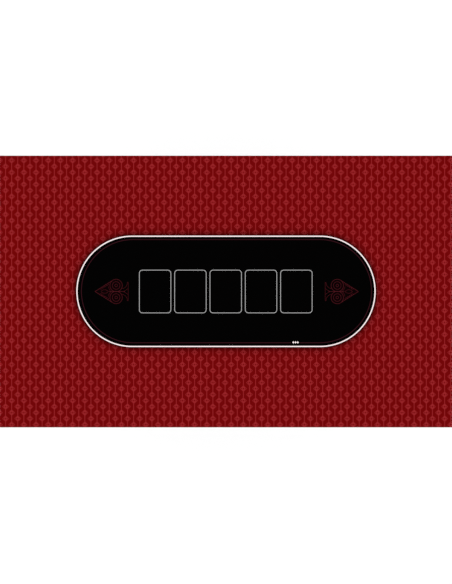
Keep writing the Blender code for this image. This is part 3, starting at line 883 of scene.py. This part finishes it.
def upright(node):
    """An upright round piece's middle, its radius, and its lowest and highest z."""
    low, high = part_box(node)
    return (low + high) / 2, (high.x - low.x) / 2, low.z, high.z


def body_of(node):
    bodies = frame["record"]["behaviour"]["bodies"]
    return next(body for body, members in bodies.items() if node in members)


def stand_in(node, bm, finish, sharp=35):
    """A finer piece in a CAD node's place, on its body."""
    piece = piece_of("fine_" + node, bm, finish, body_of(node), sharp)
    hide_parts(node)


def build_legs(finish):
    """The legs' tubes, rounder than their CAD solids."""
    ease = 0.0003
    for corner in CORNERS:
        middle, outer, low_z, high_z = upright(f"{corner}_leg")
        inner = outer - TUBE_WALL
        profile = [(outer, low_z + ease), (outer, high_z - ease), (outer - ease, high_z), (inner, high_z)]
        profile += [(inner, low_z), (outer - ease, low_z)]
        bm = bmesh.new()
        turned(bm, profile, (middle.x, middle.y, 0))
        stand_in(f"{corner}_leg", bm, finish)


def build_crossbars(finish):
    """The bars between the legs, with ends that fit round them."""
    steps = 48
    for side in SIDES:
        low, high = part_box(f"{side}_crossbar")
        middle = (low + high) / 2
        radius = (high.z - low.z) / 2
        bm = bmesh.new()
        rings = []
        for row in ROWS:
            leg, leg_radius, _, _ = upright(f"{side}_{row}_leg")
            reach = leg_radius + GAP
            towards = -1 if leg.y > 0 else 1
            ring = []
            for i in range(steps):
                angle = math.tau * i / steps
                x, z = radius * math.cos(angle), radius * math.sin(angle)
                y = leg.y + towards * math.sqrt(reach**2 - x**2)
                ring.append(bm.verts.new((middle.x + x, y, middle.z + z)))
            pole = bm.verts.new((middle.x, leg.y + towards * reach, middle.z))
            for i in range(steps):
                bm.faces.new((pole, ring[i], ring[(i + 1) % steps]))
            rings.append(ring)
        join_rings(bm, *rings)
        stand_in(f"{side}_crossbar", bm, finish, sharp=50)


def span(node, outward):
    """A node's near and far distance from the table's middle plane, on the side that outward points to."""
    low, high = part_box(node)
    return sorted((outward * low.y, outward * high.y))


def dome(rim, base, towards):
    """Half a rivet head's outline, from its rim to its crown."""
    thick, steps = 0.0005, 7
    points = [(rim, base), (rim, base + towards * thick)]
    for i in range(1, steps):
        angle = math.pi / 2 * i / steps
        height = thick + (HEAD_HEIGHT - thick) * math.sin(angle)
        points.append((rim * math.cos(angle), base + towards * height))
    return points + [(0, base + towards * HEAD_HEIGHT)]


def build_rivets(finish):
    """Domed rivets, each with its washers, in place of the plain CAD ones."""
    pivot_shank, stay_shank = 0.0040, 0.0030
    for corner in CORNERS:
        outward = outward_of(corner)
        # Each rivet's shank radius, and the two pieces that its washer lies between.
        kinds = {
            "pivot_rivet": (pivot_shank, None),
            "leg_rivet": (stay_shank, (f"{corner}_leg", f"{corner}_lower_stay")),
            "anchor_rivet": (stay_shank, (f"{corner}_stay_anchor", f"{corner}_upper_stay")),
            "knuckle_rivet": (stay_shank, (None, f"{corner}_upper_stay")),
        }
        for kind, (shank, between) in kinds.items():
            node = f"{corner}_{kind}"
            low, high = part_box(node)
            rim = (high.z - low.z) / 2
            near, far = span(node, outward)
            washer = None
            if between:
                start = span(between[0], outward)[1] + GAP if between[0] else near
                washer = (start, span(between[1], outward)[0] - GAP)
            if kind == "knuckle_rivet":
                profile = [(0, near), (rim, near)]
            else:
                profile = list(reversed(dome(rim, near + HEAD_HEIGHT, -1))) + [(shank, near + HEAD_HEIGHT)]
                if washer:
                    profile += [(shank, washer[0]), (rim, washer[0])]
            if washer:
                profile += [(rim, washer[1]), (shank, washer[1])]
            profile += [(shank, far - HEAD_HEIGHT)] + dome(rim, far - HEAD_HEIGHT, 1)
            bm = bmesh.new()
            origin = ((low.x + high.x) / 2, 0, (low.z + high.z) / 2)
            turned(bm, profile, origin, (0, outward, 0), steps=32)
            stand_in(node, bm, finish, sharp=40)


def build_stays(finish):
    """The folding arms as pressed strips: flat, with rounded edges and a stiffening rib."""
    ease, rib_end, rib_rise = 0.0004, 0.016, 0.0007
    crest, slope, root = 0.0018, 0.0026, 0.0031
    hollow, hollow_root = 0.0014, 0.0026
    half, turns = ARM_WIDTH / 2, 17
    for corner in CORNERS:
        outward = outward_of(corner)
        knuckle = middle_of(f"{corner}_knuckle_rivet")
        for arm, pivot in (("lower", "leg_rivet"), ("upper", "anchor_rivet")):
            node = f"{corner}_{arm}_stay"
            near, far = span(node, outward)
            start = middle_of(f"{corner}_{pivot}")
            along = Vector((knuckle.x - start.x, 0, knuckle.z - start.z))
            length = along.length
            along.normalize()
            across = along.cross(Vector((0, 1, 0)))
            thick = far - near
            # Rings of (half width, distance kept from each rivet, height), from the middle of one face
            # round the edge to the middle of the other.
            rings = [(0.0, rib_end, thick + rib_rise), (crest, rib_end, thick + rib_rise)]
            rings += [(slope, rib_end, thick + 0.2 * rib_rise), (root, rib_end, thick)]
            rings += [(half - ease, 0.0, thick), (half, 0.0, thick - ease)]
            rings += [(half, 0.0, ease), (half - ease, 0.0, 0.0), (hollow_root, rib_end, 0.0)]
            rings += [(hollow, rib_end, rib_rise), (0.0, rib_end, rib_rise)]
            bm = bmesh.new()
            made = []
            for size, kept, height in rings:
                ring = []
                for end, centre in ((1, length - kept), (-1, kept)):
                    for i in range(turns):
                        angle = math.pi * (i / (turns - 1) - 0.5) + (0 if end > 0 else math.pi)
                        u = centre + size * math.cos(angle)
                        w = size * math.sin(angle)
                        spot = start + along * u + across * w
                        ring.append(bm.verts.new((spot.x, outward * (near + height), spot.z)))
                made.append(ring)
            for first, second in zip(made, made[1:]):
                join_rings(bm, first, second)
            bmesh.ops.remove_doubles(bm, verts=bm.verts, dist=1e-6)
            stand_in(node, bm, finish, sharp=18)


def build_feet(finish):
    """Ribbed rubber cups over the legs' ends."""
    tread, chamfer, slack = 0.0007, 0.0012, 0.0002
    groove, rib, depth, round_off = 0.0011, 0.0026, 0.0008, 0.0003
    band_height = 0.0072  # of the plain band under the ribs
    rib_in = 0.0001
    for corner in CORNERS:
        node = f"{corner}_foot"
        middle, radius, low_z, high_z = upright(node)
        tall = high_z - low_z
        _, leg_radius, leg_end, _ = upright(f"{corner}_leg")
        bore = leg_radius + slack
        sole = leg_end - GAP
        # Two treads on the sole, the plain band, the ribs, and a lip that hugs the leg.
        profile = [(0, tread), (0.35 * radius, tread), (0.39 * radius, 0), (0.55 * radius, 0)]
        profile += [(0.59 * radius, tread), (0.74 * radius, tread), (0.78 * radius, 0)]
        profile += [(radius - chamfer, 0), (radius, chamfer), (radius, band_height)]
        height = band_height
        while height + groove + rib < 0.80 * tall:
            profile += [(radius - depth, height + round_off), (radius - depth, height + groove)]
            height += groove
            profile += [(radius - rib_in, height + round_off), (radius - rib_in, height + rib)]
            height += rib
        profile += [(radius - 0.0007, height + 0.0010), (bore + 0.0009, tall - 0.0008)]
        profile += [(bore + 0.0004, tall - 0.0001), (bore, tall - 0.0004), (bore, sole), (0, sole)]
        bm = bmesh.new()
        turned(bm, profile, (middle.x, middle.y, low_z))
        piece = piece_of(f"{corner}_rubber_foot", bm, finish, body_of(node), sharp=45)
        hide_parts(node)


def build_leg_plugs(finish):
    """A rubber plug in each leg's open top."""
    skirt, slack, rest = 0.0060, 0.0001, 0.0001
    for corner in CORNERS:
        middle, radius, _, leg_top = upright(f"{corner}_leg")
        inner = radius - TUBE_WALL - slack
        rim = 0.96 * radius
        profile = [(0, 0.0016), (0.55 * radius, 0.0015), (0.85 * radius, 0.0009), (rim, 0.0003)]
        profile += [(rim, rest), (inner, rest), (inner, -skirt), (0, -skirt)]
        bm = bmesh.new()
        turned(bm, profile, (middle.x, middle.y, leg_top))
        piece_of(f"{corner}_leg_plug", bm, finish, body_of(f"{corner}_leg"), sharp=45)


def build_screws(finish):
    """Their heads, under the brackets, anchors and tabs."""
    for corner in CORNERS:
        inward = 1 if corner.startswith("left") else -1
        low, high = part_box(f"{corner}_leg_bracket")
        pivot = middle_of(f"{corner}_pivot_rivet")
        aside = (high.y - low.y) / 2 - BRACKET_SCREW_INSET
        spots = []
        for along in BRACKET_SCREWS_X:
            for sign in (-1, 1):
                spots.append((pivot.x + inward * along, pivot.y + sign * aside, high.z - SHEET))
        screws(f"{corner}_bracket_screws", spots, finish)
        plate_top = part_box(f"{corner}_stay_anchor")[1].z
        anchor_x = middle_of(f"{corner}_anchor_rivet").x
        screw_y = pivot.y + outward_of(corner) * ANCHOR_SCREW_Y
        spots = [(anchor_x + sign * ANCHOR_SCREW_X, screw_y, plate_top - SHEET) for sign in (-1, 1)]
        screws(f"{corner}_anchor_screws", spots, finish)
    for node, middle, along, inward, half_z in frame_tabs():
        centre = middle + Vector((0, 0, half_z - TAB_SHEET)) + inward.normalized() * TAB_SCREW_IN
        aside = along.normalized() * TAB_SCREW_ALONG
        screws(f"{node}_screws", [centre - aside, centre + aside], finish)


def post(foot, low, high):
    """Points straight up from a height to another, over a point of the floor plan."""
    count = round((high - low) / BEAD_STEP)
    return [Vector((foot[0], foot[1], low + i * BEAD_STEP)) for i in range(count + 1)]


def build_crossbar_welds(finish):
    """A bead round each end of the crossbars, in the saddle between the two tubes."""
    bead_radius, stand_off, steps = 0.0018, 0.0004, 96
    for side in SIDES:
        bar_low, bar_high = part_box(f"{side}_crossbar")
        radius = (bar_high.z - bar_low.z) / 2 + stand_off
        axis_z = (bar_high.z + bar_low.z) / 2
        bm = bmesh.new()
        for row in ROWS:
            leg, leg_radius, _, _ = upright(f"{side}_{row}_leg")
            reach = leg_radius + stand_off
            towards = -1 if leg.y > 0 else 1
            path = []
            for i in range(steps):
                angle = math.tau * i / steps
                x, z = radius * math.cos(angle), radius * math.sin(angle)
                y = towards * math.sqrt(reach**2 - x**2)
                path.append(Vector((leg.x + x, leg.y + y, axis_z + z)))
            bead(bm, path, bead_radius, closed=True)
        piece_of(f"{side}_crossbar_welds", bm, finish, f"{side}_legs", sharp=60)


def build_frame_welds(finish):
    """Beads in the frame's corners and along the tabs' ends."""
    corner_radius, mitre_radius, tab_radius = 0.0013, 0.0009, 0.0012
    ground, ground_ease, ground_end = 0.0016, 0.0004, 0.0010
    clear, tab_clear = 0.002, 0.001
    mitre_start, mitre_end = 0.06, 0.94
    end_low, end_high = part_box("left_rail")
    side_low, side_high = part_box("front_rail")
    low_z, high_z = end_low.z, end_high.z
    bm = bmesh.new()
    for sign_x in (-1, 1):
        for sign_y in (-1, 1):
            inside = Vector((-sign_x * end_high.x, -sign_y * side_high.y, low_z))
            outside = Vector((-sign_x * end_low.x, -sign_y * side_low.y, low_z))
            bead(bm, post(inside, low_z + clear, high_z - clear), corner_radius)
            count = round((outside - inside).length / BEAD_STEP)
            shares = [mitre_start + (mitre_end - mitre_start) * i / count for i in range(count + 1)]
            bead(bm, [inside.lerp(outside, share) for share in shares], mitre_radius)
            # The outer corner is welded too, and ground round.
            seam = (outside.x - sign_x * ground, outside.y - sign_y * ground, 0)
            profile = [(0, low_z + ground_ease), (ground * 0.8, low_z + ground_ease)]
            profile += [(ground, low_z + ground_end), (ground, high_z - ground_end)]
            profile += [(ground * 0.8, high_z - ground_ease), (0, high_z - ground_ease)]
            turned(bm, profile, seam, steps=32)
    for _, middle, along, inward, half_z in frame_tabs():
        low, high = middle.z - half_z + tab_clear, middle.z + half_z - 3 * tab_clear
        for end in (-along, along):
            bead(bm, post(middle + end - inward, low, high), tab_radius)
    piece_of("frame_welds", bm, finish, "table_top", sharp=60)


# The studio -----------------------------------------------


def build_studio():
    scene = bpy.context.scene
    scene.view_settings.view_transform = "Standard"
    world = bpy.data.worlds.new("studio")
    world.use_nodes = True
    sky = world.node_tree.nodes["Background"].inputs
    sky["Color"].default_value = (1.0, 1.0, 1.0, 1.0)
    sky["Strength"].default_value = 0.70
    scene.world = world

    bm = bmesh.new()
    bmesh.ops.create_grid(bm, x_segments=1, y_segments=1, size=40.0)
    mesh = bpy.data.meshes.new("studio_floor")
    bm.to_mesh(mesh)
    bm.free()
    g = Graph("studio_floor")
    mesh.materials.append(g.finish(colour=(0.93, 0.93, 0.93, 1.0), roughness=0.9, specular=0.1))
    floor = bpy.data.objects.new("studio_floor", mesh)
    scene.collection.objects.link(floor)

    sun = bpy.data.lights.new("key", "SUN")
    sun.energy = 1.62
    sun.angle = math.radians(5)
    key = bpy.data.objects.new("key", sun)
    key.location = (0, 0, 4)
    scene.collection.objects.link(key)


def build_camera():
    """Looks straight down, with the mat as wide as the picture."""
    picture_width, picture_height = 452, 584
    lens, sensor = 200.0, 36.0
    overlap = 0.998  # the mat just fills the picture's width
    middle_y = -0.0011
    height_seen = overlap * MAT_LENGTH * picture_height / picture_width
    camera = bpy.data.cameras.new("camera")
    camera.lens = lens
    camera.sensor_width = sensor
    camera.clip_end = 100.0
    obj = bpy.data.objects.new("camera", camera)
    obj.location = (0, middle_y, MAT_TOP + height_seen * lens / sensor)
    bpy.context.scene.collection.objects.link(obj)
    bpy.context.scene.camera = obj


build_camera()
build_studio()
build_mat()
build_table()
